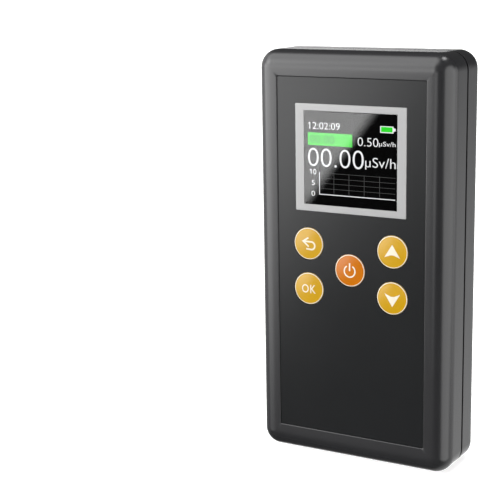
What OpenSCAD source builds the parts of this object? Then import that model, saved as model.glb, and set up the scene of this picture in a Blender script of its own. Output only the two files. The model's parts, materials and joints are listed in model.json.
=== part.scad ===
// Handheld radiation dose-rate meter: two moulded shells, a colour display
// under a clear window, five push keys, a Geiger-Mueller tube with its board,
// and three cells behind a sliding door. Millimetres.
// The origin is the centre of the bottom end. +Z runs up the case, the display
// faces -Y, and +X is to the right of someone who reads the display.
// "Depth" always means the distance behind the front face, along +Y.

/* [Case] */
// Width of the case
case_w = 61; // [60.5:0.5:64]
// Depth of the case, front face to back face
case_d = 23; // [23:0.25:26]
// Height of the case, standing on its bottom end
case_h = 120; // [120:1:128]
// Radius of the rounded corners and edges
edge_r = 5.3; // [4.6:0.1:5.8]
// Wall thickness of both shells
wall = 2; // [1.9:0.05:2.1]
// Depth of the parting line between the shells
parting_depth = 11.6; // [11.3:0.1:12]
// Width of the groove that the shells leave open at the parting line
parting_gap = 0.9; // [0.4:0.1:1.1]

/* [Front panel] */
// Width of the black overlay
overlay_w = 46.4; // [44:0.2:48]
// Lower edge of the overlay
overlay_z0 = 8; // [7:0.5:10]
// Upper edge of the overlay
overlay_z1 = 112.5; // [111:0.5:113]
// Thickness of the overlay
overlay_t = 0.5; // [0.3:0.1:0.5]
// How far the overlay lies below the front face
overlay_drop = 0.3; // [0.2:0.05:0.4]
// Width of the silver border around the display window
border_w = 34.9; // [34:0.1:36]
// Height of the silver border
border_h = 31.1; // [30.5:0.1:32]
// Lower edge of the silver border
border_z0 = 74; // [73.5:0.25:75]
// Width of the display window
window_w = 29.1; // [28.5:0.1:30]
// Height of the display window
window_h = 26.9; // [26.5:0.1:27.5]

/* [Keys] */
// Diameter of a key
key_dia = 9.45; // [9:0.05:9.8]
// Distance of the outer keys from the middle of the case
key_x = 13.3; // [12.5:0.1:14]
// Height of the power key's centre
key_z = 57.65; // [57:0.05:58]
// Half the distance between the two key rows
key_row = 6.7; // [6.5:0.1:7]
// How far a key goes in before its switch bottoms
key_travel = 0.3; // [0.2:0.05:0.35]

/* [Battery bay] */
// Width of the battery door
door_w = 52.2; // [51.8:0.1:52.4]
// Upper edge of the battery door
door_z1 = 37.35; // [37:0.05:38]
// Gap around the door
door_gap = 0.3; // [0.2:0.05:0.35]
// Diameter of a cell
cell_dia = 10.3; // [10:0.1:10.4]
// Length of a cell with its positive end
cell_l = 44.5; // [43.5:0.5:44.5]
// Distance between two cells' axes
cell_pitch = 10.8; // [10.6:0.1:10.9]

/* [Geiger-Mueller tube] */
// Diameter of the glass tube
tube_dia = 10; // [8:0.5:10]
// Length of the glass tube
tube_l = 54; // [46:1:56]

/* [Hidden] */
// Gap between a key and the hole it moves in, all round
key_gap = 0.15;
// Depths of the front panel's faces
overlay_floor = overlay_drop + overlay_t;
panel_slack = 0.08;
// How far a cutting shape runs past what it cuts
over = 1;
// How far a wall, post or rib runs into the wall that carries it
root = 0.3;
// How much smaller the border is than its opening, and how far it stands proud
border_fit = 0.1;
border_rise = 0.05;
// Silver border and window, by their centres
border_z = border_z0 + border_h / 2;
window_z = border_z;

// Display stack, front to back: the panel is bonded behind the window, and a
// holder with a foam gasket carries it on the board
adhesive_t = 0.1;
lcd_w = 31.5;
lcd_h = 33.7;
lcd_t = 1.6;
lcd_gap = 0.25;
backlight_t = 1.5;
holder_t = 2.6;
holder_rim = 2.2;
holder_lip = 3;
lcd_depth = overlay_floor + adhesive_t;
backlight_depth = lcd_depth + lcd_t;
holder_depth = backlight_depth + backlight_t;
holder_w = lcd_w + 2 * holder_rim;
holder_h = lcd_h + 2 * holder_rim;

// Main board behind the display
board_depth = holder_depth + holder_t;
board_t = 1.2;
board_back = board_depth + board_t;
board_w = 53;
board_z0 = 41;
board_z1 = 107;
board_screw_x = 23.5;
board_screw_zs = [44, 103];
board_post_r = 2.2;
board_hole_r = 1.2;
board_pilot_depth = 2.6;
board_screw_depth = 3;
board_screw_head_r = 1.9;
board_screw_head_t = 1.3;

// Keys: a round cap, a flange behind the shell and a stem in the switch
cap_depth = overlay_drop - 0.05;
flange_depth = wall + 0.05;
flange_t = 0.7;
flange_r = key_dia / 2 + 0.65;
stem_r = 1.75;
stem_gap = 0.08;
switch_w = 6;
switch_h = 3.2;
switch_depth = board_depth - switch_h;
stem_reach = 0.7;
stem_clear = 0.2;
stem_end = switch_depth + stem_reach;
stem_bore_end = stem_end + key_travel + stem_clear;

// Case screws, through tubes near the rear shell's top corners
case_screw_x = 23.6;
case_screw_z = case_h - 7.5;
screw_hole_r = 1.8;
screw_tube_r = 3.3;
screw_land_depth = 12.6;
screw_land_t = 1.6;
screw_pilot_r = 0.85;
screw_fit = 0.02;
screw_pass_r = 1.15;
screw_head_depth = screw_land_depth + screw_land_t;
screw_head_r = 1.7;
screw_head_t = 1.4;
case_post_r = 3;
case_pilot_depth = 4.5;
case_screw_depth = 6;
// Cross recess in every screw head
cross_l = 2.2;
cross_w = 0.45;
cross_floor = 0.7;

// Tongue of the front shell inside the rear shell's rim
tongue_inset = 1.1;
tongue_end = parting_depth + 1.6;
tongue_root = 1;
tongue_gap = 0.1;

// Battery bay walls
bay_floor_depth = 8.1;
bay_wall = 1.2;
bay_x = door_w / 2 + door_gap;
bay_z0 = 3.5;
bay_z1 = 36.3;
bay_top = 38.7;
sill_z0 = 0.5;
cell_depth = 14.85;
cell_z0 = bay_z0 + 5.5;
contact_t = 0.4;
contact_w = 8;
nub_l = 1;
nub_r = 1.9;
// Springs narrow from the contact plate to the cell
spring_l = 2 * (bay_x - contact_t) - cell_l;
spring_wire_r = 0.35;
spring_base_r = 3.6;
spring_tip_r = 2.2;
spring_turns = 4;
spring_steps = 14;

// Battery door
door_t = 1.1;
lip_depth = 14;
hook_x0 = 24;
hook_x1 = 25.8;
hook_depth = 20.3;
hook_t = 0.55;
hook_wall = 0.7;
hook_zs = [5, 25];
hook_l = 6;
ledge_x = 25;
ledge_depth = 21;
ledge_t = 0.7;
ledge_z0 = edge_r + 0.3;
ledge_z1 = bay_top - 0.5;
door_rib_xs = [-15, -5, 5, 15];
door_rib_t = 1;
door_rib_z0 = 5;
door_rib_z1 = 34;
latch_w = 10;
latch_z0 = 35;
latch_rib_t = 1;
latch_z1 = 39.2;
latch_gap = 0.3;
grip_w = 14.1;
grip_z0 = 25.4;
grip_z1 = 35.2;
grip_drop = 0.4;

// Geiger-Mueller tube behind the board
tube_x = 14;
tube_z0 = 47;
tube_depth = 14.4;
tube_wall = 0.6;
tube_end_t = 1;
tube_cap_l = 4;
tube_cap_t = 0.6;
cathode_t = 0.15;
anode_r = 0.4;
// Gap between two round parts that are pressed together
press_fit = 0.02;

// ---- Shared shapes -------------------------------------------------------

// A box between two corners, with its depths behind the front face.
module block(x0, x1, depth0, depth1, z0, z1)
  translate([x0, depth0 - case_d / 2, z0])
    cube([x1 - x0, depth1 - depth0, z1 - z0]);

// A box of width w and height h, centred on x and z.
module plate(x, z, w, h, depth0, depth1)
  block(x - w / 2, x + w / 2, depth0, depth1, z - h / 2, z + h / 2);

// A round rod along the depth.
module rod(x, z, r, depth0, depth1)
  translate([x, depth0 - case_d / 2, z])
    rotate([-90, 0, 0])
      cylinder(r = r, h = depth1 - depth0, $fn = 48);

// A rectangular frame: an outer plate with a rectangular hole.
module frame(z, outer_w, outer_h, inner_w, inner_h, depth0, depth1)
  difference() {
    plate(0, z, outer_w, outer_h, depth0, depth1);
    plate(0, z, inner_w, inner_h, depth0 - over, depth1 + over);
  }

// Quarter round of the case edge, from the face back to the given length.
function edge_profile(r, length) = concat(
  [[0, 0]],
  [for (a = [11.25:11.25:90]) [r * sin(a), r * (1 - cos(a))]],
  [[r, length], [0, length]]
);

// Half of the case form, one face rounded, inset all round by the given amount.
module half_form(inset, length) {
  r = edge_r - inset;
  reach_x = case_w / 2 - edge_r;
  hull()
    for (x = [-reach_x, reach_x], z = [edge_r, case_h - edge_r])
      translate([x, inset, z])
        rotate([-90, 0, 0])
          rotate_extrude($fn = 32)
            polygon(edge_profile(r, length - inset));
}

// The case's front half, down to the given depth.
module front_form(inset, depth)
  translate([0, -case_d / 2, 0])
    half_form(inset, depth);

// The case's rear half, from the given depth back.
module rear_form(inset, depth)
  translate([0, case_d / 2, 0])
    mirror([0, 1, 0])
      half_form(inset, case_d - depth);

// Outline of the case, inset all round, as a straight prism.
module case_prism(inset, depth0, depth1) {
  r = edge_r - inset;
  half_w = case_w / 2 - inset;
  for (x = [edge_r - case_w / 2, case_w / 2 - edge_r], z = [edge_r, case_h - edge_r])
    rod(x, z, r, depth0, depth1);
  block(r - half_w, half_w - r, depth0, depth1, inset, case_h - inset);
  block(-half_w, half_w, depth0, depth1, edge_r, case_h - edge_r);
}

// A round bar along a list of points, closed at both ends.
module bar_along(points, r, sides) {
  count = len(points);
  last = count - 1;
  rings = [
    for (i = [0:last])
      let (
        ahead = points[min(i + 1, last)],
        behind = points[max(i - 1, 0)],
        along = (ahead - behind) / norm(ahead - behind),
        across = cross(along, [1, 0, 0]),
        u = across / norm(across),
        v = cross(along, u)
      )
      for (k = [0:sides - 1])
        points[i] + r * cos(360 * k / sides) * u + r * sin(360 * k / sides) * v
  ];
  skin = [
    for (i = [0:last - 1], k = [0:sides - 1])
      let (a = i * sides + k, b = i * sides + (k + 1) % sides)
      [a, a + sides, b + sides, b]
  ];
  ends = [
    [for (k = [0:sides - 1]) k],
    [for (k = [0:sides - 1]) last * sides + sides - 1 - k]
  ];
  polyhedron(points = rings, faces = concat(skin, ends));
}

// ---- Case ----------------------------------------------------------------

module case_screw_places()
  for (x = [-case_screw_x, case_screw_x])
    translate([x, 0, case_screw_z])
      children();

module board_screw_places()
  for (x = [-board_screw_x, board_screw_x], z = board_screw_zs)
    translate([x, 0, z])
      children();

// Places of the keys: left column, power key, right column.
return_at = [-key_x, key_z + key_row];
ok_at = [-key_x, key_z - key_row];
power_at = [0, key_z];
up_at = [key_x, key_z + key_row];
down_at = [key_x, key_z - key_row];
key_places = [return_at, ok_at, power_at, up_at, down_at];

module key_holes(depth0, depth1)
  for (p = key_places)
    rod(p[0], p[1], key_dia / 2 + key_gap, depth0, depth1);

module front_shell()
  color([0.27, 0.27, 0.28]) {
    front_rim = parting_depth - parting_gap / 2;
    overlay_mid = (overlay_z0 + overlay_z1) / 2;
    overlay_h = overlay_z1 - overlay_z0;
    difference() {
      union() {
        difference() {
          front_form(0, front_rim);
          front_form(wall, front_rim + over);
        }
        difference() {
          case_prism(tongue_inset, front_rim - tongue_root, tongue_end);
          case_prism(wall, front_rim - tongue_root - over, tongue_end + over);
        }
        case_screw_places() rod(0, 0, case_post_r, wall - root, screw_land_depth);
        board_screw_places() rod(0, 0, board_post_r, wall - root, board_depth);
      }
      plate(0, overlay_mid, overlay_w + 2 * panel_slack, overlay_h + 2 * panel_slack,
        -over, overlay_floor);
      plate(0, window_z, lcd_w + 2 * lcd_gap, lcd_h + 2 * lcd_gap, 0, wall + over);
      key_holes(0, wall + over);
      case_screw_places() rod(0, 0, screw_pilot_r, case_pilot_depth, screw_land_depth + over);
      board_screw_places() rod(0, 0, screw_pilot_r, board_pilot_depth, board_depth + over);
    }
  }

// Walls of the bay that holds the cells.
module battery_bay() {
  outer_x = bay_x + bay_wall;
  floor_back = bay_floor_depth + bay_wall;
  under = bay_z0 - bay_wall;
  block(-outer_x, outer_x, bay_floor_depth, floor_back, under, bay_top);
  block(-outer_x, outer_x, bay_floor_depth, case_d - wall + root, bay_z1, bay_top);
  block(-outer_x, outer_x, bay_floor_depth, lip_depth, under, bay_z0);
  block(edge_r - case_w / 2, case_w / 2 - edge_r, tongue_end + tongue_gap, lip_depth,
    sill_z0, bay_z0);
  for (side = [-1, 1]) {
    x0 = side > 0 ? bay_x : -outer_x;
    block(x0, x0 + bay_wall, bay_floor_depth, case_d - wall + root, under, bay_top);
    ledge_x0 = side > 0 ? ledge_x : -outer_x;
    block(ledge_x0, ledge_x0 + outer_x - ledge_x, ledge_depth, ledge_depth + ledge_t,
      ledge_z0, ledge_z1);
  }
}

module rear_shell()
  color([0.36, 0.35, 0.35]) {
    rear_rim = parting_depth + parting_gap / 2;
    rebate_inset = tongue_inset - tongue_gap;
    half_door = door_w / 2 + door_gap;
    difference() {
      union() {
        difference() {
          rear_form(0, rear_rim);
          rear_form(wall, rear_rim - over);
          case_prism(rebate_inset, rear_rim - over, tongue_end + tongue_gap);
          block(-half_door, half_door, lip_depth, case_d + over, -over, door_z1 + door_gap);
        }
        battery_bay();
        case_screw_places() rod(0, 0, screw_tube_r, screw_land_depth, case_d - wall + root);
      }
      case_screw_places() {
        rod(0, 0, screw_hole_r, screw_head_depth, case_d + over);
        rod(0, 0, screw_pass_r, screw_land_depth - over, screw_head_depth + over);
      }
      block(-latch_w / 2 - latch_gap, latch_w / 2 + latch_gap, hook_depth - latch_gap,
        ledge_depth, bay_z1 - over, bay_top + over);
    }
  }

module overlay_panel()
  color([0.17, 0.17, 0.18])
    difference() {
      block(-overlay_w / 2, overlay_w / 2, overlay_drop, overlay_floor,
        overlay_z0, overlay_z1);
      plate(0, border_z, border_w, border_h, 0, overlay_floor + over);
      key_holes(0, overlay_floor + over);
    }

module window_border()
  color([0.78, 0.78, 0.78])
    frame(border_z, border_w - border_fit, border_h - border_fit, window_w + border_fit,
      window_h + border_fit, overlay_drop - border_rise, overlay_floor);

module display_window()
  color([0.05, 0.05, 0.06, 0.5])
    plate(0, window_z, window_w, window_h, overlay_drop, overlay_floor);

// ---- Display -------------------------------------------------------------

module lens_adhesive()
  color([0.8, 0.85, 0.9, 0.3])
    plate(0, window_z, window_w, window_h, overlay_floor, lcd_depth);

module lcd_panel()
  color([0.06, 0.07, 0.09])
    plate(0, window_z, lcd_w, lcd_h, lcd_depth, backlight_depth);

module lcd_backlight()
  color([0.9, 0.9, 0.88])
    plate(0, window_z, lcd_w, lcd_h, backlight_depth, holder_depth);

// Foam between the front shell's back and the holder, round the backlight.
module display_gasket()
  color([0.1, 0.1, 0.1])
    frame(window_z, holder_w, holder_h, lcd_w + 2 * lcd_gap, lcd_h + 2 * lcd_gap,
      wall, holder_depth);

module lcd_holder()
  color([0.2, 0.2, 0.2])
    frame(window_z, holder_w, holder_h, lcd_w - 2 * holder_lip, lcd_h - 2 * holder_lip,
      holder_depth, board_depth);

// The flex leaves the backlight's back, inside the holder, and plugs into a
// connector on the board.
flex_w = 11;
flex_t = 0.15;
flex_rise = 3;
flex_bond_l = 8;
flex_plug_l = 1;
connector_h = 3;
connector_t = 1.2;
connector_z = window_z - 6;
flex_z0 = connector_z + connector_h / 2;
socket_depth = board_depth - 0.7;
socket_gap = 0.05;

module lcd_flex()
  color([0.85, 0.5, 0.15]) {
    bend_z = flex_z0 + flex_rise;
    block(-flex_w / 2, flex_w / 2, holder_depth, holder_depth + flex_t,
      bend_z - flex_t, bend_z + flex_bond_l);
    block(-flex_w / 2, flex_w / 2, holder_depth, socket_depth + flex_t,
      bend_z - flex_t, bend_z);
    block(-flex_w / 2, flex_w / 2, socket_depth, socket_depth + flex_t,
      flex_z0 - flex_plug_l, bend_z);
  }

module lcd_connector()
  color([0.9, 0.88, 0.8])
    difference() {
      plate(0, connector_z, flex_w + 2, connector_h, board_depth - connector_t, board_depth);
      block(-flex_w / 2 - 0.1, flex_w / 2 + 0.1, socket_depth - socket_gap,
        socket_depth + flex_t + socket_gap, flex_z0 - flex_plug_l - 0.1, flex_z0 + over);
    }

// ---- Main board and keys -------------------------------------------------

module main_board()
  color([0.05, 0.3, 0.18])
    difference() {
      block(-board_w / 2, board_w / 2, board_depth, board_back, board_z0, board_z1);
      board_screw_places() rod(0, 0, board_hole_r, board_depth - over, board_back + over);
    }

// A screw with a round head and a cross recess: its tip, the seat of its head
// and the head's size.
module screw(tip_depth, seat, head_r, head_t)
  difference() {
    union() {
      rod(0, 0, head_r, seat, seat + head_t);
      rod(0, 0, screw_pilot_r - screw_fit, tip_depth, seat + head_t / 2);
    }
    plate(0, 0, cross_l, cross_w, seat + cross_floor, seat + head_t + over);
    plate(0, 0, cross_w, cross_l, seat + cross_floor, seat + head_t + over);
  }

module board_screws()
  color([0.7, 0.7, 0.72])
    board_screw_places()
      screw(board_screw_depth, board_back, board_screw_head_r, board_screw_head_t);

// A key cap: a disc with a slightly eased edge and a flange behind the shell.
key_edge = 0.2;

module key_cap(place)
  translate([place[0], cap_depth - case_d / 2, place[1]])
    rotate([-90, 0, 0])
      rotate_extrude($fn = 64)
        polygon([
          [0, 0],
          [key_dia / 2 - key_edge, 0],
          [key_dia / 2, key_edge],
          [key_dia / 2, flange_depth - cap_depth],
          [flange_r, flange_depth - cap_depth],
          [flange_r, flange_depth - cap_depth + flange_t],
          [0, flange_depth - cap_depth + flange_t]
        ]);

// The round plunger of a switch, under its key cap.
module key_stem(place)
  color([0.15, 0.15, 0.16])
    rod(place[0], place[1], stem_r, flange_depth + flange_t, stem_end);

// The square body of a switch, with the bore that its plunger moves in.
module key_switch(place)
  color([0.2, 0.2, 0.22])
    difference() {
      plate(place[0], place[1], switch_w, switch_w, switch_depth, board_depth);
      rod(place[0], place[1], stem_r + stem_gap, switch_depth - over, stem_bore_end);
    }

key_yellow = [0.88, 0.66, 0.16];
key_orange = [0.85, 0.42, 0.06];

module key_return() color(key_yellow) key_cap(return_at);
module key_ok() color(key_yellow) key_cap(ok_at);
module key_power() color(key_orange) key_cap(power_at);
module key_up() color(key_yellow) key_cap(up_at);
module key_down() color(key_yellow) key_cap(down_at);

// ---- Geiger-Mueller tube -------------------------------------------------

// A round bar along the tube's axis.
module tube_rod(r, z0, z1)
  translate([tube_x, tube_depth - case_d / 2, z0])
    cylinder(r = r, h = z1 - z0, $fn = 48);

tube_z1 = tube_z0 + tube_l;
cap_bore_r = tube_dia / 2 + press_fit;
cap_r = tube_dia / 2 + 0.35;

module gm_tube_glass()
  color([0.75, 0.85, 0.9, 0.4])
    difference() {
      tube_rod(tube_dia / 2, tube_z0, tube_z1);
      tube_rod(tube_dia / 2 - tube_wall, tube_z0 + tube_end_t, tube_z1 - tube_end_t);
    }

// Thin conducting sleeve that lines the glass.
module gm_tube_cathode()
  color([0.55, 0.57, 0.6]) {
    sleeve_r = tube_dia / 2 - tube_wall - press_fit;
    sleeve_inset = tube_cap_l + 1;
    difference() {
      tube_rod(sleeve_r, tube_z0 + sleeve_inset, tube_z1 - sleeve_inset);
      tube_rod(sleeve_r - cathode_t, tube_z0 + sleeve_inset - over,
        tube_z1 - sleeve_inset + over);
    }
  }

module gm_anode_wire()
  color([0.8, 0.8, 0.8])
    tube_rod(anode_r, tube_z0 + tube_end_t, tube_z1 - tube_end_t);

// A metal end cap over one end of the glass, with its closed end outwards.
module tube_cap(z0, z1, closed_z0, closed_z1)
  color([0.82, 0.8, 0.74])
    difference() {
      tube_rod(cap_r, z0, z1);
      tube_rod(cap_bore_r, closed_z0, closed_z1);
    }

module gm_cap_lower()
  tube_cap(tube_z0 - tube_cap_t, tube_z0 + tube_cap_l, tube_z0,
    tube_z0 + tube_cap_l + over);

module gm_cap_upper()
  tube_cap(tube_z1 - tube_cap_l, tube_z1 + tube_cap_t, tube_z1 - tube_cap_l - over,
    tube_z1);

// A spring clip that holds one end cap and stands on the board.
clip_h = 3;
clip_t = 0.5;
clip_foot_w = 5;
clip_mouth_w = 6.4;
clip_inset = 0.2;

module tube_clip(z)
  color([0.75, 0.72, 0.6]) {
    clip_r = cap_r + clip_t;
    half_foot = clip_foot_w / 2;
    half_mouth = clip_mouth_w / 2;
    difference() {
      union() {
        tube_rod(clip_r, z, z + clip_h);
        block(tube_x - half_foot, tube_x + half_foot, board_back,
          tube_depth - cap_r + root, z, z + clip_h);
      }
      tube_rod(cap_r + press_fit, z - over, z + clip_h + over);
      block(tube_x - half_mouth, tube_x + half_mouth, tube_depth,
        tube_depth + clip_r + over, z - over, z + clip_h + over);
    }
  }

module tube_clip_lower() tube_clip(tube_z0 + clip_inset);
module tube_clip_upper() tube_clip(tube_z1 - clip_h - clip_inset);

// ---- Parts on the back of the board --------------------------------------

// The step-up transformer is a drum core with its winding round the post.
transformer_x = -15;
transformer_z = 62;
transformer_r = 4.8;
transformer_post_r = 2;
transformer_flange_t = 1;
transformer_h = 6;
winding_r = 4.2;

module transformer_rod(r, from, to)
  rod(transformer_x, transformer_z, r, board_back + from, board_back + to);

module hv_transformer()
  color([0.16, 0.16, 0.17]) {
    transformer_rod(transformer_r, 0, transformer_flange_t);
    transformer_rod(transformer_post_r, 0, transformer_h);
    transformer_rod(transformer_r, transformer_h - transformer_flange_t, transformer_h);
  }

module hv_winding()
  color([0.72, 0.38, 0.16])
    difference() {
      transformer_rod(winding_r, transformer_flange_t, transformer_h - transformer_flange_t);
      transformer_rod(transformer_post_r, 0, transformer_h);
    }

// Disc capacitors of the high-voltage supply.
capacitor_x = -22;
capacitor_zs = [50, 72];
capacitor_r = 2.4;
capacitor_t = 2.4;

module hv_capacitors()
  color([0.75, 0.45, 0.12])
    for (z = capacitor_zs)
      rod(capacitor_x, z, capacitor_r, board_back, board_back + capacitor_t);

controller_at = [-12, 80];
controller_w = 10;
controller_t = 1.5;

module microcontroller()
  color([0.08, 0.08, 0.09])
    plate(controller_at[0], controller_at[1], controller_w, controller_w,
      board_back, board_back + controller_t);

regulator_at = [0, 48];
regulator_size = [4.6, 3.6];
regulator_t = 1.4;

module voltage_regulator()
  color([0.08, 0.08, 0.09])
    plate(regulator_at[0], regulator_at[1], regulator_size[0], regulator_size[1],
      board_back, board_back + regulator_t);

crystal_at = [-1.5, 80];
crystal_r = 1.5;
crystal_t = 1.2;

module crystal()
  color([0.78, 0.78, 0.8])
    rod(crystal_at[0], crystal_at[1], crystal_r, board_back, board_back + crystal_t);

// Small chip resistors and capacitors, in two columns.
chip_xs = [-6, -3.6];
chip_z0 = 56;
chip_pitch = 3.6;
chip_rows = 4;
chip_size = [1.2, 2];
chip_t = 0.6;

module chip_parts()
  color([0.7, 0.6, 0.45])
    for (x = chip_xs, row = [0:chip_rows - 1])
      plate(x, chip_z0 + row * chip_pitch, chip_size[0], chip_size[1],
        board_back, board_back + chip_t);

// Round sounder with a small sound hole in its face.
buzzer_at = [-15, 96];
buzzer_r = 6;
buzzer_h = 6;
sound_hole_r = 1;
sound_hole_l = 2;

module buzzer()
  color([0.07, 0.07, 0.07])
    difference() {
      rod(buzzer_at[0], buzzer_at[1], buzzer_r, board_back, board_back + buzzer_h);
      rod(buzzer_at[0], buzzer_at[1], sound_hole_r, board_back + buzzer_h - sound_hole_l,
        board_back + buzzer_h + over);
    }

// ---- Cells and their contacts --------------------------------------------

// Which way each cell's positive end points: 1 is towards +X.
cell_ways = [1, -1, 1];

function cell_z(i) = cell_z0 + i * cell_pitch;

module cell(i)
  color([0.2, 0.35, 0.55])
    translate([0, cell_depth - case_d / 2, cell_z(i)])
      rotate([0, 90 * cell_ways[i], 0])
        translate([0, 0, bay_x - contact_t - cell_l]) {
          cylinder(d = cell_dia, h = cell_l - nub_l, $fn = 48);
          cylinder(r = nub_r, h = cell_l, $fn = 32);
        }

// A contact plate on one side of the bay, over the cells from first to last.
module contact_plate(side, first, last) {
  x0 = side > 0 ? bay_x - contact_t : -bay_x;
  half_w = contact_w / 2;
  block(x0, x0 + contact_t, cell_depth - half_w, cell_depth + half_w,
    cell_z(first) - half_w, cell_z(last) + half_w);
}

module battery_contacts()
  color([0.8, 0.8, 0.78]) {
    contact_plate(1, 0, 0);
    contact_plate(1, 1, 2);
    contact_plate(-1, 0, 1);
    contact_plate(-1, 2, 2);
  }

// Points of a spring, from the contact plate to the cell.
function spring_points(i) = [
  for (k = [0:spring_turns * spring_steps])
    let (
      t = k / (spring_turns * spring_steps),
      r = spring_base_r + (spring_tip_r - spring_base_r) * t,
      a = 360 * k / spring_steps,
      run = spring_wire_r + t * (spring_l - 2 * spring_wire_r)
    )
    [
      cell_ways[i] * (contact_t - bay_x + run),
      cell_depth - case_d / 2 + cell_ways[i] * r * cos(a),
      cell_z(i) + r * sin(a)
    ]
];

module battery_springs()
  color([0.8, 0.8, 0.78])
    for (i = [0:2])
      bar_along(spring_points(i), spring_wire_r, 6);

// Leads from the bay's contacts up to the board, by their points.
lead_r = 0.55;
lead_sides = 8;
// The lead's path: distance behind the board, and height above the bay.
lead_path = [[1.6, 0.1], [1.6, 1.4], [1.9, 2.6], [1.4, 4], [0.7, 5.5], [0.6, 7.5]];

module lead(x)
  bar_along([for (p = lead_path) [x, board_back + p[0] - case_d / 2, bay_top + p[1]]],
    lead_r, lead_sides);

module lead_red() color([0.75, 0.1, 0.08]) lead(5);
module lead_black() color([0.1, 0.1, 0.1]) lead(-7);

// ---- Battery door and case screws ----------------------------------------

module battery_door()
  color([0.36, 0.35, 0.35]) {
    inside = case_d - door_t;
    half_w = door_w / 2;
    lip_front = lip_depth + door_gap;
    difference() {
      intersection() {
        rear_form(0, lip_front);
        block(-half_w, half_w, lip_front, case_d + over, -over, door_z1);
      }
      rear_form(door_t, lip_front - over);
      block(-grip_w / 2, grip_w / 2, case_d - grip_drop, case_d + over, grip_z0, grip_z1);
    }
    for (x = door_rib_xs)
      block(x - door_rib_t / 2, x + door_rib_t / 2, hook_depth, inside + root,
        door_rib_z0, door_rib_z1);
    for (side = [-1, 1], z = hook_zs) {
      foot_x = side > 0 ? hook_x0 : -hook_x0 - hook_wall;
      toe_x = side > 0 ? hook_x0 : -hook_x1;
      block(foot_x, foot_x + hook_wall, hook_depth, inside + root, z, z + hook_l);
      block(toe_x, toe_x + hook_x1 - hook_x0, hook_depth, hook_depth + hook_t, z, z + hook_l);
    }
    block(-latch_w / 2, latch_w / 2, hook_depth, inside + root, latch_z0,
      latch_z0 + latch_rib_t);
    block(-latch_w / 2, latch_w / 2, hook_depth, hook_depth + hook_t, latch_z0, latch_z1);
  }

module case_screws()
  color([0.3, 0.3, 0.32])
    case_screw_places()
      screw(case_screw_depth, screw_head_depth, screw_head_r, screw_head_t);

// ---- Nodes ---------------------------------------------------------------

front_shell();
rear_shell();
overlay_panel();
window_border();
display_window();
lens_adhesive();
lcd_panel();
lcd_backlight();
display_gasket();
lcd_holder();
lcd_flex();
lcd_connector();
main_board();
board_screws();
key_return();
key_ok();
key_power();
key_up();
key_down();
key_stem(return_at);  // stem_return
key_stem(ok_at);  // stem_ok
key_stem(power_at);  // stem_power
key_stem(up_at);  // stem_up
key_stem(down_at);  // stem_down
key_switch(return_at);  // switch_return
key_switch(ok_at);  // switch_ok
key_switch(power_at);  // switch_power
key_switch(up_at);  // switch_up
key_switch(down_at);  // switch_down
gm_tube_glass();
gm_tube_cathode();
gm_anode_wire();
gm_cap_upper();
gm_cap_lower();
tube_clip_upper();
tube_clip_lower();
hv_transformer();
hv_winding();
hv_capacitors();
microcontroller();
voltage_regulator();
crystal();
chip_parts();
buzzer();
battery_contacts();
battery_springs();
cell(0);  // cell_lower
cell(1);  // cell_middle
cell(2);  // cell_upper
lead_red();
lead_black();
battery_door();
case_screws();
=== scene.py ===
"""Looks of the handheld dose-rate meter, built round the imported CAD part."""

import json
from math import cos, pi, radians, sin, tan

import bmesh
import bpy
from mathutils import Matrix, Vector

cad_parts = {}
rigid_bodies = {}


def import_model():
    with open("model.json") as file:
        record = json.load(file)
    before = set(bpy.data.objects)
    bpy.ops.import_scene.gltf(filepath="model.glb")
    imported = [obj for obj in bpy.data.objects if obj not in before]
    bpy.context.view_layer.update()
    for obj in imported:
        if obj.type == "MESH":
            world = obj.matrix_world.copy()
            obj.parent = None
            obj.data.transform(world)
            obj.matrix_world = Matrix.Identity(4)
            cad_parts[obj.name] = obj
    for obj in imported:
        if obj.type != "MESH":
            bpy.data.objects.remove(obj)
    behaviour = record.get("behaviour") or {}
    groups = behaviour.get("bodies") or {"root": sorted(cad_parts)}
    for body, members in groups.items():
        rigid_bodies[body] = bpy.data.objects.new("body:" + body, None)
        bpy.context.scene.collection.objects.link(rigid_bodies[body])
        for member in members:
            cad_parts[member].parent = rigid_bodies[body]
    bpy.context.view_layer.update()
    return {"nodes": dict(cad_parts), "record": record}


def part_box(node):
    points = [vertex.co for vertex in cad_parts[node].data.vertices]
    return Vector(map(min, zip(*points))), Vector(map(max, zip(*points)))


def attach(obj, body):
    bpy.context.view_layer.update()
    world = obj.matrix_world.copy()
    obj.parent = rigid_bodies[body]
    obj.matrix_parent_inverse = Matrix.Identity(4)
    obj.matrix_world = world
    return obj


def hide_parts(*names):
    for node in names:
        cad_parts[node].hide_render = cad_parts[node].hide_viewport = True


MM = 0.001

for leftover in list(bpy.data.objects):
    bpy.data.objects.remove(leftover)
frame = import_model()

# ---- Sizes, in millimetres, read from the CAD nodes ------------------------


def box_mm(node):
    lo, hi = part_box(node)
    return lo / MM, hi / MM


case_lo, case_hi = box_mm("front_shell")[0], box_mm("rear_shell")[1]
HALF_D = -case_lo.y
HALF_W = case_hi.x
CASE_H = case_hi.z
EDGE_R = 5.3
WALL = 2.0
# Depths behind the front face: the parting groove, the end of the front
# shell's tongue, and the back face.
RIM_FRONT = 11.15
RIM_REAR = 12.05
TONGUE_END = 13.2
BACK = 2 * HALF_D
# The smallest corner radius of a ring, which keeps its points apart.
SHARP = 0.02


def middle(node):
    lo, hi = box_mm(node)
    return (lo + hi) / 2


def point(x, depth, z):
    """A place in the case: x and z in mm, depth behind the front face."""
    return Vector((x, depth - HALF_D, z)) * MM


# ---- Mesh tools ------------------------------------------------------------


def to_object(bm, name):
    bmesh.ops.recalc_face_normals(bm, faces=bm.faces)
    mesh = bpy.data.meshes.new(name)
    bm.to_mesh(mesh)
    bm.free()
    made = bpy.data.objects.new(name, mesh)
    bpy.context.scene.collection.objects.link(made)
    return made


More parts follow.
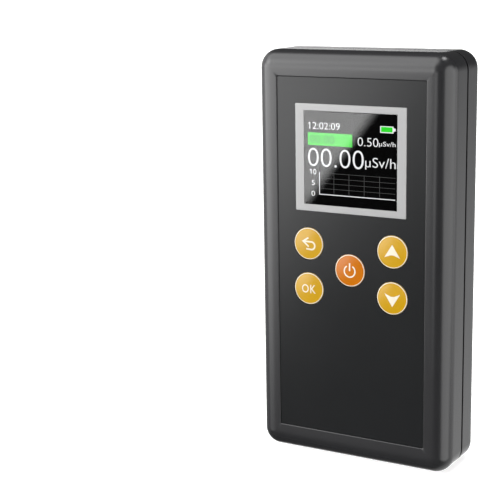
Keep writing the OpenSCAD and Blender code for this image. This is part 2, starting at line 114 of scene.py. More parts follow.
def ring(half_w, z0, z1, r, depth, steps=10, x=0):
    """A rounded rectangle at one depth, as a list of points."""
    r = max(r, SHARP)
    corners = (
        (half_w - r, z1 - r),
        (r - half_w, z1 - r),
        (r - half_w, z0 + r),
        (half_w - r, z0 + r),
    )
    made = []
    for turn, (cx, cz) in enumerate(corners):
        for k in range(steps + 1):
            a = radians(90 * (turn + k / steps))
            made.append(point(x + cx + r * cos(a), depth, cz + r * sin(a)))
    return made


def skin(name, rings, closed=False):
    """A solid through the rings: capped at both ends, or joined last to first."""
    bm = bmesh.new()
    rows = [[bm.verts.new(p) for p in points] for points in rings]
    count = len(rows[0])
    following = rows[1:] + rows[:1] if closed else rows[1:]
    for a, b in zip(rows, following):
        for k in range(count):
            n = (k + 1) % count
            bm.faces.new((a[k], a[n], b[n], b[k]))
    if not closed:
        bm.faces.new(rows[0])
        bm.faces.new(rows[-1])
    return to_object(bm, name)


def round_axis(x, z, depth=None, way=1):
    """Places points round an axis along the depth, or where a depth is given,
    along X from x, to the right or with way -1 to the left."""

    def place(r, along, a):
        if depth is None:
            return point(x + r * cos(a), along, z + r * sin(a))
        return point(x + way * along, depth + r * cos(a), z + r * sin(a))

    return place


def turn(name, profile, place, steps=96, closed=False):
    """A solid turned round an axis. The profile is (radius, along), from the
    axis and back to it, or closed for a ring."""
    bm = bmesh.new()
    rows = []
    for r, along in profile:
        angles = [2 * pi * k / steps for k in range(steps if r else 1)]
        rows.append([bm.verts.new(place(r, along, a)) for a in angles])
    following = rows[1:] + rows[:1] if closed else rows[1:]
    for a, b in zip(rows, following):
        for k in range(steps):
            n = (k + 1) % steps
            corners = [a[k % len(a)], a[n % len(a)], b[n % len(b)], b[k % len(b)]]
            bm.faces.new(list(dict.fromkeys(corners)))
    return to_object(bm, name)


def block(x0, x1, depth0, depth1, z0, z1):
    half, x = (x1 - x0) / 2, (x0 + x1) / 2
    rings = [ring(half, z0, z1, SHARP, d, steps=1, x=x) for d in (depth0, depth1)]
    return skin("block", rings)


def rod(x, z, r, depth0, depth1, steps=48):
    profile = [(0, depth0), (r, depth0), (r, depth1), (0, depth1)]
    return turn("rod", profile, round_axis(x, z), steps)


def arc(steps, first=0, last=90):
    """Angles in radians, from first to last."""
    return [radians(first + (last - first) * k / steps) for k in range(steps + 1)]


def plate(name, z, w, h, depth0, depth1, r, edge):
    """A plate across the middle of the case, with corners of radius r, whose
    front edges are rounded by edge."""
    steps = [(edge * (1 - sin(a)), depth0 + edge * (1 - cos(a))) for a in arc(4)]
    rings = [
        ring(w / 2 - inset, z - h / 2 + inset, z + h / 2 - inset, r - inset, depth, 8)
        for inset, depth in steps + [(0, depth1)]
    ]
    return skin(name, rings)


def outline_solid(name, points, depth0, depth1, x=0, z=0):
    """A flat closed solid over an outline of (x, z) points."""
    bm = bmesh.new()
    front = [bm.verts.new(point(x + u, depth0, z + v)) for u, v in points]
    back = [bm.verts.new(point(x + u, depth1, z + v)) for u, v in points]
    bm.faces.new(front)
    bm.faces.new(back)
    for k in range(len(points)):
        n = (k + 1) % len(points)
        bm.faces.new((front[k], front[n], back[n], back[k]))
    bmesh.ops.triangulate(bm, faces=[f for f in bm.faces if len(f.verts) > 4])
    return to_object(bm, name)


def combine(base, tools, operation):
    """Cuts the tools out of the base, or joins them to it, and drops them."""
    for tool in tools:
        modifier = base.modifiers.new("boolean", "BOOLEAN")
        modifier.operation = operation
        modifier.solver = "EXACT"
        modifier.object = tool
        graph = bpy.context.evaluated_depsgraph_get()
        graph.update()
        mesh = bpy.data.meshes.new_from_object(base.evaluated_get(graph))
        base.modifiers.clear()
        base.data = mesh
        bpy.data.objects.remove(tool)
    return base


def join(objects):
    """Several solids as one piece."""
    first = objects[0]
    bm = bmesh.new()
    for made in objects:
        bm.from_mesh(made.data)
    bm.to_mesh(first.data)
    bm.free()
    for made in objects[1:]:
        bpy.data.objects.remove(made)
    return first


# A sharp turn in a line is cut short where its corner would reach further than
# the half width divided by this.
MITRE = 0.3


def stroke(name, points, width, depth0, depth1, x, z):
    """A line of even width along (x, z) points, as a closed solid."""
    path = [Vector(p) for p in points]
    ways = [(b - a).normalized() for a, b in zip(path, path[1:])]
    rings = []
    for p, into, out in zip(path, ways[:1] + ways, ways + ways[-1:]):
        way = (into + out).normalized()
        across = Vector((-way.y, way.x))
        reach = width / 2 / max(across.dot(Vector((-into.y, into.x))), MITRE)
        left, right = p + across * reach, p - across * reach
        corners = ((left, depth0), (right, depth0), (right, depth1), (left, depth1))
        rings.append([point(x + q.x, d, z + q.y) for q, d in corners])
    return skin(name, rings)


def add(made, name, body, finish, replaces=(), angle=35):
    """Puts a finished piece on its body, with its material. Edges
    sharper than the angle stay sharp."""
    made.name = name
    made.data.name = name
    made.data.materials.clear()
    made.data.materials.append(finish)
    made.data.shade_smooth()
    made.data.set_sharp_from_angle(angle=radians(angle))
    modifier = made.modifiers.new("weighted", "WEIGHTED_NORMAL")
    modifier.keep_sharp = True
    modifier.weight = 100
    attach(made, body)
    if replaces:
        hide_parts(*replaces)
    return made


# ---- Materials -------------------------------------------------------------


class Nodes:
    """A short way to wire shader nodes."""

    def __init__(self, tree):
        self.tree = tree

    def add(self, kind, settings=None, **inputs):
        made = self.tree.nodes.new(kind)
        for key, value in (settings or {}).items():
            setattr(made, key, value)
        for key, value in inputs.items():
            self.put(made.inputs[key.replace("_", " ")], value)
        return made

    def put(self, socket, value):
        if isinstance(value, bpy.types.NodeSocket):
            self.tree.links.new(value, socket)
        else:
            socket.default_value = value

    def math(self, operation, a, b=0.0, c=0.0):
        made = self.tree.nodes.new("ShaderNodeMath")
        made.operation = operation
        for socket, value in zip(made.inputs, (a, b, c)):
            self.put(socket, value)
        return made.outputs[0]

    def span(self, value, low, high, to_low, to_high, smooth_step=False):
        """Maps low..high to to_low..to_high, and holds it there."""
        made = self.tree.nodes.new("ShaderNodeMapRange")
        if smooth_step:
            made.interpolation_type = "SMOOTHSTEP"
        for key, v in zip(made.inputs.keys()[:5], (value, low, high, to_low, to_high)):
            self.put(made.inputs[key], v)
        return made.outputs[0]

    def noise(self, place, scale, detail=2.0, roughness=0.5):
        made = self.add(
            "ShaderNodeTexNoise", Scale=scale, Detail=detail, Roughness=roughness
        )
        self.put(made.inputs["Vector"], place)
        return made.outputs["Fac"]

    def mix(self, factor, a, b):
        made = self.tree.nodes.new("ShaderNodeMix")
        made.data_type = "RGBA"
        sockets = [s for s in made.inputs if s.enabled]
        self.put(sockets[0], factor)
        self.put(sockets[1], a)
        self.put(sockets[2], b)
        return [s for s in made.outputs if s.enabled][0]


def rgb(r, g, b):
    return (r, g, b, 1.0)


# How much of a surface's drift in tone comes from its fine grain.
FINE_PART = 0.35


def finish(
    name,
    colour,
    other,
    roughness,
    patch=60.0,
    grain=2500.0,
    bump=0.02,
    depth=0.00002,
    spread=0.05,
    extra=None,
    **sockets,
):
    """A surface whose colour drifts between two tones in patches, whose
    roughness varies with it, and whose fine grain is a bump."""
    made = bpy.data.materials.new(name)
    made.use_nodes = True
    tree = made.node_tree
    n = Nodes(tree)
    surface = tree.nodes["Principled BSDF"]
    place = n.add("ShaderNodeTexCoord").outputs["Object"]
    patches = n.noise(place, patch, 3.0)
    fine = n.noise(place, grain, 3.0, 0.6)
    broad = n.math("MULTIPLY", patches, 1 - FINE_PART)
    blend = n.math("MULTIPLY_ADD", fine, FINE_PART, broad)
    tone = n.mix(n.span(blend, 0.35, 0.65, 0.0, 1.0), rgb(*colour), rgb(*other))
    n.put(surface.inputs["Base Color"], tone)
    rough = n.span(blend, 0.3, 0.7, roughness - spread, roughness + spread)
    n.put(surface.inputs["Roughness"], rough)
    height = n.add("ShaderNodeBump", Strength=bump, Distance=depth, Height=fine)
    n.put(surface.inputs["Normal"], height.outputs["Normal"])
    for key, value in sockets.items():
        surface.inputs[key.replace("_", " ")].default_value = value
    if extra:
        extra(n, surface, place, tone, blend)
    return made


def shell_pits_and_painted_groove_shade(n, surface, place, tone, blend):
    """Spark-eroded texture: small pits at two sizes. The parting groove gets painted shade:
    near black and dull inside."""
    pits = n.noise(place, 1500.0, 4.0, 0.65)
    broad = n.noise(place, 420.0, 2.0)
    height = n.math("MULTIPLY_ADD", broad, 0.4, pits)
    bump = n.add("ShaderNodeBump", Strength=0.10, Distance=0.00005, Height=height)
    n.put(surface.inputs["Normal"], bump.outputs["Normal"])
    # Painted shade: a mask on depth turns the inside of the parting groove near black and
    # dull, in place of its shadow.
    groove_y = ((RIM_FRONT + RIM_REAR) / 2 - HALF_D) * MM
    groove_half = (RIM_REAR - RIM_FRONT) / 2 * MM
    along = n.add("ShaderNodeSeparateXYZ", Vector=place).outputs["Y"]
    off = n.math("ABSOLUTE", n.math("SUBTRACT", along, groove_y))
    outside = n.span(off, groove_half + 0.02 * MM, groove_half + 0.08 * MM, 0.0, 1.0)
    # The colour of the painted shade in the groove.
    painted_groove_shade = rgb(0.003, 0.003, 0.003)
    n.put(surface.inputs["Base Color"], n.mix(outside, painted_groove_shade, tone))
    rough = surface.inputs["Roughness"].links[0].from_socket
    dull = n.math("MAXIMUM", rough, n.span(outside, 0.0, 1.0, 0.95, 0.0))
    n.put(surface.inputs["Roughness"], dull)


shell = finish(
    "shell_plastic",
    (0.018, 0.018, 0.0193),
    (0.0215, 0.0215, 0.0228),
    0.24,
    patch=25.0,
    spread=0.02,
    extra=shell_pits_and_painted_groove_shade,
    Specular_IOR_Level=0.44,
)
overlay_finish = finish(
    "overlay_film",
    (0.0098, 0.0104, 0.0109),
    (0.0112, 0.0118, 0.0124),
    0.19,
    patch=30.0,
    grain=1800.0,
    bump=0.03,
    spread=0.01,
    Specular_IOR_Level=0.285,
)
silver = finish(
    "silver_trim",
    (0.325, 0.325, 0.325),
    (0.343, 0.343, 0.343),
    0.21,
    patch=90.0,
    grain=3500.0,
    bump=0.05,
    spread=0.02,
    Specular_IOR_Level=0.46,
)
window_glass = finish(
    "window_clear",
    (0.97, 0.98, 0.98),
    (0.99, 1.0, 1.0),
    0.012,
    patch=30.0,
    grain=600.0,
    bump=0.002,
    spread=0.006,
    Transmission_Weight=1.0,
    IOR=1.5,
)


def screen_extra(n, surface, place, tone, blend):
    """Cells of the display, a faint grid that catches light."""
    cells = n.add(
        "ShaderNodeTexBrick",
        {"offset": 0.0},
        Scale=9000.0,
        Mortar_Size=0.08,
        Color1=rgb(0.0012, 0.0012, 0.0014),
        Color2=rgb(0.0016, 0.0016, 0.0018),
        Mortar=rgb(0.0003, 0.0003, 0.0003),
    )
    across = n.add("ShaderNodeMapping", Vector=place, Rotation=(pi / 2, 0, 0))
    n.put(cells.inputs["Vector"], across.outputs["Vector"])
    n.put(surface.inputs["Base Color"], cells.outputs["Color"])


screen_black = finish(
    "screen_black",
    (0.001, 0.001, 0.001),
    (0.002, 0.002, 0.002),
    0.5,
    extra=screen_extra,
    Specular_IOR_Level=0.0,
)


def lit(name, strength, colour, other):
    """Lit pixels: the glow drifts a little between two tones."""

    def glow(n, surface, place, tone, blend):
        drift = n.mix(n.noise(place, 900.0, 2.0), rgb(*colour), rgb(*other))
        n.put(surface.inputs["Emission Color"], drift)

    return finish(
        name,
        (0.02, 0.02, 0.02),
        (0.03, 0.03, 0.03),
        0.5,
        extra=glow,
        Specular_IOR_Level=0.0,
        Emission_Strength=strength,
    )


lit_white = lit("screen_white", 0.92, (1.0, 1.0, 1.0), (0.95, 0.97, 1.0))
lit_green = lit("screen_green", 1.0, (0.035, 0.69, 0.035), (0.05, 0.72, 0.05))
lit_battery = lit("screen_battery", 1.0, (0.012, 0.71, 0.010), (0.016, 0.75, 0.013))
lit_dim = lit("screen_dim", 1.0, (0.02, 0.34, 0.05), (0.03, 0.38, 0.06))
lit_grid = lit("screen_grid", 0.06, (1.0, 1.0, 1.0), (0.9, 0.9, 0.9))
lit_axis = lit("screen_axis", 0.95, (1.0, 1.0, 1.0), (0.93, 0.95, 1.0))

key_yellow = finish(
    "key_yellow",
    (0.452, 0.254, 0.005),
    (0.478, 0.270, 0.008),
    0.20,
    patch=200.0,
    grain=4000.0,
    bump=0.06,
    Specular_IOR_Level=0.39,
)
key_orange = finish(
    "key_orange",
    (0.432, 0.120, 0.000),
    (0.462, 0.130, 0.001),
    0.19,
    patch=200.0,
    grain=4000.0,
    bump=0.06,
    Specular_IOR_Level=0.31,
)
key_print = finish(
    "key_print",
    (0.66, 0.60, 0.47),
    (0.70, 0.64, 0.51),
    0.35,
    patch=400.0,
    grain=5000.0,
    bump=0.08,
)


def metal(name, colour, other, roughness, **more):
    """Drawn or plated metal with a fine grain."""
    looks = {"patch": 150.0, "grain": 6000.0, "bump": 0.1, "Metallic": 1.0}
    return finish(name, colour, other, roughness, **looks, **more)


def moulded(name, colour, other, roughness, **more):
    """Plastic, resin or film with a soft grain."""
    looks = {"patch": 120.0, "grain": 3000.0, "bump": 0.08}
    return finish(name, colour, other, roughness, **looks, **more)


def stripes(way, pitch, colour, amount):
    """Even stripes across one axis, a pitch apart in mm: tracks in a film, or
    turns of wire."""

    def wire(n, surface, place, tone, blend):
        bands = n.add(
            "ShaderNodeTexWave",
            {"wave_type": "BANDS", "bands_direction": way},
            Vector=place,
            Scale=pi / (10 * pitch * MM),
        ).outputs["Fac"]
        n.put(surface.inputs["Base Color"], n.mix(bands, tone, rgb(*colour)))
        height = n.add("ShaderNodeBump", Strength=amount, Distance=0.0001, Height=bands)
        n.put(surface.inputs["Normal"], height.outputs["Normal"])

    return wire


def tracks(n, surface, place, tone, blend):
    """Copper tracks under the board's solder mask, and specks of tinned pads."""
    flat = n.add("ShaderNodeMapping", Vector=place, Rotation=(pi / 2, 0, 0))
    lines = n.add(
        "ShaderNodeTexBrick",
        {"offset": 0.37, "squash": 1.6, "squash_frequency": 3},
        Vector=flat.outputs["Vector"],
        Scale=110.0,
        Mortar_Size=0.035,
        Color1=rgb(0.006, 0.062, 0.026),
        Color2=rgb(0.008, 0.072, 0.031),
        Mortar=rgb(0.014, 0.125, 0.052),
    )
    pads = n.add("ShaderNodeTexVoronoi", Vector=flat.outputs["Vector"], Scale=330.0)
    near = n.span(pads.outputs["Distance"], 0.12, 0.15, 1.0, 0.0)
    n.put(
        surface.inputs["Base Color"],
        n.mix(near, lines.outputs["Color"], rgb(0.55, 0.54, 0.5)),
    )
    raised = n.math("MAXIMUM", lines.outputs["Fac"], near)
    height = n.add("ShaderNodeBump", Strength=0.3, Distance=0.00004, Height=raised)
    n.put(surface.inputs["Normal"], height.outputs["Normal"])


def pores(n, surface, place, tone, blend):
    """Open cells of foam."""
    cells = n.add("ShaderNodeTexVoronoi", Vector=place, Scale=2600.0)
    height = n.add(
        "ShaderNodeBump", Strength=0.7, Distance=0.0001, Height=cells.outputs["Distance"]
    )
    n.put(surface.inputs["Normal"], height.outputs["Normal"])


tinned = metal("tinned_metal", (0.60, 0.59, 0.56), (0.68, 0.67, 0.64), 0.26)
spring_metal = metal("spring_steel", (0.56, 0.56, 0.55), (0.66, 0.66, 0.64), 0.22)
jacket = moulded("cell_jacket", (0.018, 0.045, 0.105), (0.022, 0.055, 0.125), 0.22)
jacket_band = moulded("cell_band", (0.50, 0.50, 0.49), (0.56, 0.56, 0.55), 0.24)

# Looks of the CAD nodes that stay, by the slot of the record.
LOOKS = {
    "black_foam": moulded(
        "black_foam", (0.012, 0.012, 0.012), (0.022, 0.022, 0.022), 0.85, extra=pores
    ),
    "white_plastic": moulded("white_plastic", (0.70, 0.70, 0.68), (0.77, 0.77, 0.75), 0.42),
    "flex_film": moulded(
        "flex_film",
        (0.42, 0.17, 0.015),
        (0.50, 0.21, 0.025),
        0.24,
        extra=stripes("X", 0.5, (0.62, 0.33, 0.10), 0.2),
    ),
    "ivory_plastic": moulded("ivory_plastic", (0.70, 0.64, 0.50), (0.76, 0.70, 0.57), 0.36),
    "board_laminate": moulded(
        "board_laminate", (0.006, 0.06, 0.026), (0.008, 0.07, 0.03), 0.27, extra=tracks
    ),
    "screw_steel": metal("screw_steel", (0.44, 0.44, 0.46), (0.52, 0.52, 0.54), 0.30),
    "black_plastic": moulded(
        "black_plastic", (0.016, 0.016, 0.018), (0.024, 0.024, 0.026), 0.38
    ),
    "tube_glass": finish(
        "tube_glass",
        (0.93, 0.97, 0.98),
        (0.97, 1.0, 1.0),
        0.03,
        spread=0.015,
        Transmission_Weight=1.0,
        IOR=1.47,
    ),
    "cathode_metal": metal("cathode_metal", (0.32, 0.33, 0.35), (0.40, 0.41, 0.43), 0.36),
    "tinned_metal": tinned,
    "spring_bronze": metal("spring_bronze", (0.52, 0.38, 0.20), (0.60, 0.45, 0.25), 0.30),
    "ferrite": moulded("ferrite", (0.022, 0.022, 0.025), (0.036, 0.036, 0.040), 0.62),
    "copper_wire": metal(
        "copper_wire",
        (0.50, 0.19, 0.07),
        (0.58, 0.24, 0.09),
        0.28,
        extra=stripes("Y", 0.3, (0.30, 0.10, 0.035), 0.6),
    ),
    "capacitor_resin": moulded(
        "capacitor_resin", (0.52, 0.21, 0.025), (0.60, 0.26, 0.04), 0.30
    ),
    "chip_resin": moulded("chip_resin", (0.010, 0.010, 0.012), (0.017, 0.017, 0.019), 0.46),
    "chip_ceramic": moulded("chip_ceramic", (0.38, 0.29, 0.18), (0.47, 0.38, 0.26), 0.40),
    "lead_red_pvc": moulded("lead_red_pvc", (0.42, 0.014, 0.010), (0.50, 0.02, 0.014), 0.34),
    "lead_black_pvc": moulded(
        "lead_black_pvc", (0.011, 0.011, 0.012), (0.018, 0.018, 0.019), 0.34
    ),
}
for part in frame["record"]["subparts"]:
    look = LOOKS.get(part["material_slot"])
    if look:
        mesh = frame["nodes"][part["node"]].data
        if not mesh.materials:
            mesh.materials.append(look)
        for k in range(len(mesh.materials)):
            mesh.materials[k] = look

# ---- Front shell -----------------------------------------------------------

overlay_lo, overlay_hi = box_mm("overlay_panel")
SLACK = 0.08
RECESS_X = overlay_hi.x + SLACK
RECESS_Z0 = overlay_lo.z - SLACK
RECESS_Z1 = overlay_hi.z + SLACK
OVERLAY_DROP = overlay_lo.y + HALF_D
OVERLAY_FLOOR = overlay_hi.y + HALF_D
window_mid = middle("display_window")
KEYS = ("return", "ok", "power", "up", "down")
key_at = {k: middle("key_" + k) for k in KEYS}
KEY_R = 4.725
KEY_HOLE_R = KEY_R + 0.15
RECESS_R = 0.35


def case_ring(inset, depth):
    return ring(HALF_W - inset, inset, CASE_H - inset, EDGE_R - inset, depth)


def recess_ring(outset, depth):
    r = RECESS_R + outset
    return ring(RECESS_X + outset, RECESS_Z0 - outset, RECESS_Z1 + outset, r, depth)


RECESS_EDGE = 0.2
RIM_EDGE = 0.12
# A ring on the flat of the rim, which keeps its shading even at the corners.
FLAT_INSET = EDGE_R + 0.8
FLAT_R = 0.6
TONGUE_INSET = 1.1
rings = [recess_ring(0, OVERLAY_FLOOR)]
for a in arc(4):
    rings.append(recess_ring(RECESS_EDGE * (1 - cos(a)), RECESS_EDGE * (1 - sin(a))))
rings.append(ring(HALF_W - FLAT_INSET, FLAT_INSET, CASE_H - FLAT_INSET, FLAT_R, 0))
for a in arc(14):
    rings.append(case_ring(EDGE_R * (1 - sin(a)), EDGE_R * (1 - cos(a))))
for a in arc(4):
    rings.append(case_ring(RIM_EDGE * (1 - cos(a)), RIM_FRONT - RIM_EDGE * (1 - sin(a))))
rings += [
    case_ring(TONGUE_INSET, RIM_FRONT),
    case_ring(TONGUE_INSET, TONGUE_END),
    case_ring(WALL, TONGUE_END),
]
inner_r = EDGE_R - WALL
for a in arc(6, 90, 0):
    rings.append(case_ring(WALL + inner_r * (1 - sin(a)), WALL + inner_r * (1 - cos(a))))
front = skin("front_shell_body", rings)

screws_mid = middle("case_screws")
SCREW_X, SCREW_Z = 23.6, screws_mid.z
SCREWS = (screws_mid.x - SCREW_X, screws_mid.x + SCREW_X)
BOARD_SCREWS = [(x, z) for x in (-23.5, 23.5) for z in (44, 103)]
BOARD_DEPTH = box_mm("main_board")[0].y + HALF_D
THREAD_R = 0.85
# Where the posts of the two shells meet.
POST_END = 12.6
POST_ROOT = WALL - 0.5
posts = [rod(x, SCREW_Z, 3.0, POST_ROOT, POST_END) for x in SCREWS]
posts += [rod(x, z, 2.2, POST_ROOT, BOARD_DEPTH) for x, z in BOARD_SCREWS]
combine(front, posts, "UNION")
# The opening behind the border: half its width, and half its height.
OPEN_X, OPEN_Z = 16.0, 17.1
cuts = [block(-OPEN_X, OPEN_X, -1, WALL + 1, window_mid.z - OPEN_Z, window_mid.z + OPEN_Z)]
cuts += [rod(key_at[k].x, key_at[k].z, KEY_HOLE_R, -1, WALL + 1, 96) for k in KEYS]
cuts += [rod(x, SCREW_Z, THREAD_R, 4.5, POST_END + 1.4) for x in SCREWS]
cuts += [rod(x, z, THREAD_R, 2.6, BOARD_DEPTH + 1) for x, z in BOARD_SCREWS]
combine(front, cuts, "DIFFERENCE")
add(front, "front_shell_body", "case", shell, ["front_shell"])

# ---- Overlay, border and window ---------------------------------------------

border_lo, border_hi = box_mm("window_border")
BORDER_GAP = 0.05
overlay = plate(
    "overlay_film",
    (overlay_lo.z + overlay_hi.z) / 2,
    overlay_hi.x - overlay_lo.x,
    overlay_hi.z - overlay_lo.z,
    OVERLAY_DROP,
    OVERLAY_FLOOR,
    r=0.3,
    edge=0.04,
)
cuts = [
    block(
        border_lo.x - BORDER_GAP,
        border_hi.x + BORDER_GAP,
        0,
        1,
        border_lo.z - BORDER_GAP,
        border_hi.z + BORDER_GAP,
    )
]
cuts += [rod(key_at[k].x, key_at[k].z, KEY_HOLE_R, 0, 1, 96) for k in KEYS]
combine(overlay, cuts, "DIFFERENCE")
add(overlay, "overlay_film", "case", overlay_finish, ["overlay_panel"])

BORDER_EDGE = 0.1
BORDER_R = 0.25
BORDER_DEPTH = border_lo.y + HALF_D
WINDOW_W, WINDOW_H = 29.2, 27.0


def border_outer(inset, depth):
    z0, z1 = border_lo.z + inset, border_hi.z - inset
    return ring(border_hi.x - inset, z0, z1, BORDER_R - inset, depth, 6)


def border_inner(outset, depth):
    half_h = WINDOW_H / 2 + outset
    z0, z1 = window_mid.z - half_h, window_mid.z + half_h
    return ring(WINDOW_W / 2 + outset, z0, z1, SHARP + outset, depth, 6)


def rounding(a):
    """How far in and how deep a point on the border's rounded edge lies."""
    return BORDER_EDGE * (1 - sin(a)), BORDER_DEPTH + BORDER_EDGE * (1 - cos(a))


rings = [border_outer(0, OVERLAY_FLOOR)]
rings += [border_outer(*rounding(a)) for a in arc(4, 90, 0)]
rings += [border_inner(*rounding(a)) for a in arc(4)]
rings.append(border_inner(0, OVERLAY_FLOOR))
border = skin("window_trim", rings, closed=True)
add(border, "window_trim", "case", silver, ["window_border"])

glass = plate(
    "display_glass",
    window_mid.z,
    WINDOW_W - 0.1,
    WINDOW_H - 0.1,
    OVERLAY_DROP,
    OVERLAY_FLOOR + 0.1,
    r=0.1,
    edge=0.05,
)
add(
    glass,
    "display_glass",
    "case",
    window_glass,
    ["display_window", "lens_adhesive"],
)

# ---- Screen ----------------------------------------------------------------

lcd_lo, lcd_hi = box_mm("lcd_panel")
SCREEN_DEPTH = lcd_lo.y + HALF_D - 0.02
screen = plate(
    "screen_panel",
    window_mid.z,
    lcd_hi.x - lcd_lo.x,
    lcd_hi.z - lcd_lo.z,
    SCREEN_DEPTH,
    lcd_hi.y + HALF_D,
    r=0.4,
    edge=0.05,
)
add(screen, "screen_panel", "case", screen_black, ["lcd_panel"])
# How far the lit shapes stand off the screen. A shape on another is lifted by
# that much again, and the graph's level lines by half of it.
PRINT_T = 0.03
PRINT_DEPTH = SCREEN_DEPTH - PRINT_T + 0.005
PRINT_END = SCREEN_DEPTH + 0.01
# The image's middle, a little left of the window's and below it. The sizes of
# all lit shapes are measured from it.
IMAGE_X, IMAGE_Z = -0.24, window_mid.z - 0.08


def written(name, text, x0, x1, z0, z1, depth0, depth1, origin, weight):
    """Text as a closed solid, fitted to a box in the window or on a key."""
    curve = bpy.data.curves.new(name, "FONT")
    curve.body = text
    curve.extrude = 0.5
    curve.offset = weight
    curve.resolution_u = 6
    source = bpy.data.objects.new(name, curve)
    bpy.context.scene.collection.objects.link(source)
    graph = bpy.context.evaluated_depsgraph_get()
    mesh = bpy.data.meshes.new_from_object(source.evaluated_get(graph))
    bpy.data.objects.remove(source)
    bm = bmesh.new()
    bm.from_mesh(mesh)
    bpy.data.meshes.remove(mesh)
    bmesh.ops.remove_doubles(bm, verts=bm.verts, dist=1e-5)
    xs = [v.co.x for v in bm.verts]
    ys = [v.co.y for v in bm.verts]
    zs = [v.co.z for v in bm.verts]

    def fit(value, values, low, high):
        return low + (value - min(values)) / (max(values) - min(values)) * (high - low)

    for v in bm.verts:
        x = origin[0] + fit(v.co.x, xs, x0, x1)
        z = origin[1] + fit(v.co.y, ys, z0, z1)
        depth = fit(v.co.z, zs, depth1, depth0)
        v.co = point(x, depth, z)
    return to_object(bm, name)


def on_screen(name, text, x0, x1, z0, z1, look, lift=0.0, weight=0.0, flag=0.0):
    """Text in the display's image. With flag, its first digit is a 1, and gets
    the slanted stroke at its head, of that width."""
    d0, d1 = PRINT_DEPTH - lift, PRINT_END - lift
    made = written(name, text, x0, x1, z0, z1, d0, d1, (IMAGE_X, IMAGE_Z), weight)
    if flag:
        slant = [(x0 + 0.1, z1 - 0.14), (x0 - flag, z1 - 0.14 - flag)]
        made = join([made, stroke("flag", slant, 0.26, d0, d1, IMAGE_X, IMAGE_Z)])
    add(made, name, "case", look, angle=20)


def bar(name, x0, x1, z0, z1, look, lift=0.0):
    """A lit rectangle in the display's image."""
    d0, d1 = PRINT_DEPTH - lift, PRINT_END - lift
    made = block(IMAGE_X + x0, IMAGE_X + x1, d0, d1, IMAGE_Z + z0, IMAGE_Z + z1)
    add(made, name, "case", look, angle=20)


on_screen("screen_time", "12:02:09", -12.8, -3.05, 8.35, 10.35, lit_white, flag=0.4)
on_screen("screen_limit", "0.50", 2.5, 8.92, 4.26, 6.7, lit_white, weight=-0.008)
on_screen("screen_limit_unit", "µSv/h", 9.1, 14.17, 4.25, 5.85, lit_white)
on_screen("screen_reading", "00.00", -13.3, 4.41, -2.35, 2.95, lit_white, weight=-0.012)
on_screen("screen_reading_unit", "µSv/h", 4.87, 14.2, -2.25, 1.2, lit_white, weight=-0.006)
on_screen("screen_scale_10", "10", -12.4, -10.65, -4.74, -3.13, lit_white, flag=0.35)
on_screen("screen_scale_5", "5", -12.16, -11.14, -7.85, -6.38, lit_white)
on_screen("screen_scale_0", "0", -12.25, -11.08, -11.0, -9.52, lit_white)
bar("screen_dose_bar", -13.3, 0.82, 3.72, 7.35, lit_green)
on_screen("screen_dose", "00.00", -12.67, -4.83, 4.4, 6.67, lit_dim, PRINT_T, 0.004)

battery_outline = [
    (9.45, 8.3),
    (13.5, 8.3),
    (13.5, 8.75),
    (14.15, 8.95),
    (14.15, 9.6),
    (13.5, 9.8),
    (13.5, 10.2),
    (9.45, 10.2),
]
battery = outline_solid(
    "screen_battery", battery_outline, PRINT_DEPTH, PRINT_END, IMAGE_X, IMAGE_Z
)
add(battery, "screen_battery", "case", lit_white, angle=20)
bar("screen_battery_level", 9.74, 13.2, 8.56, 9.98, lit_battery, PRINT_T)

# The graph: its origin, its right end and its top, and the faint grid in it.
AXIS_X, AXIS_Z = -9.62, -10.33
GRAPH_END, GRAPH_TOP = 14.13, -4.0
LINE_HALF_X, LINE_HALF_Z = 0.07, 0.06
for k in range(4):
    x = -5.0 + 4.78 * k
    bar(
        f"screen_grid_x{k + 1}",
        x - LINE_HALF_X,
        x + LINE_HALF_X,
        AXIS_Z + 0.1,
        GRAPH_TOP,
        lit_grid,
    )
    z = -4.15 - 1.5 * k
    bar(
        f"screen_grid_z{k + 1}",
        AXIS_X + 0.1,
        GRAPH_END,
        z - LINE_HALF_Z,
        z + LINE_HALF_Z,
        lit_grid,
        PRINT_T * 0.5,
    )
bar("screen_axis_z", AXIS_X - 0.12, AXIS_X + 0.1, AXIS_Z - 0.12, GRAPH_TOP, lit_axis)
bar("screen_axis_x", AXIS_X + 0.1, GRAPH_END, AXIS_Z - 0.12, AXIS_Z + 0.11, lit_axis)

# ---- Keys ------------------------------------------------------------------

CAP_DEPTH = 0.25
FLANGE_DEPTH = 2.05
FLANGE_END = 2.75
FLANGE_R = KEY_R + 0.65
CAP_EDGE = 0.22
CROWN = 0.16
CROWN_R = KEY_R - CAP_EDGE - 0.02
MARK_DEPTH = CAP_DEPTH - 0.03
ARROW_W = 0.48


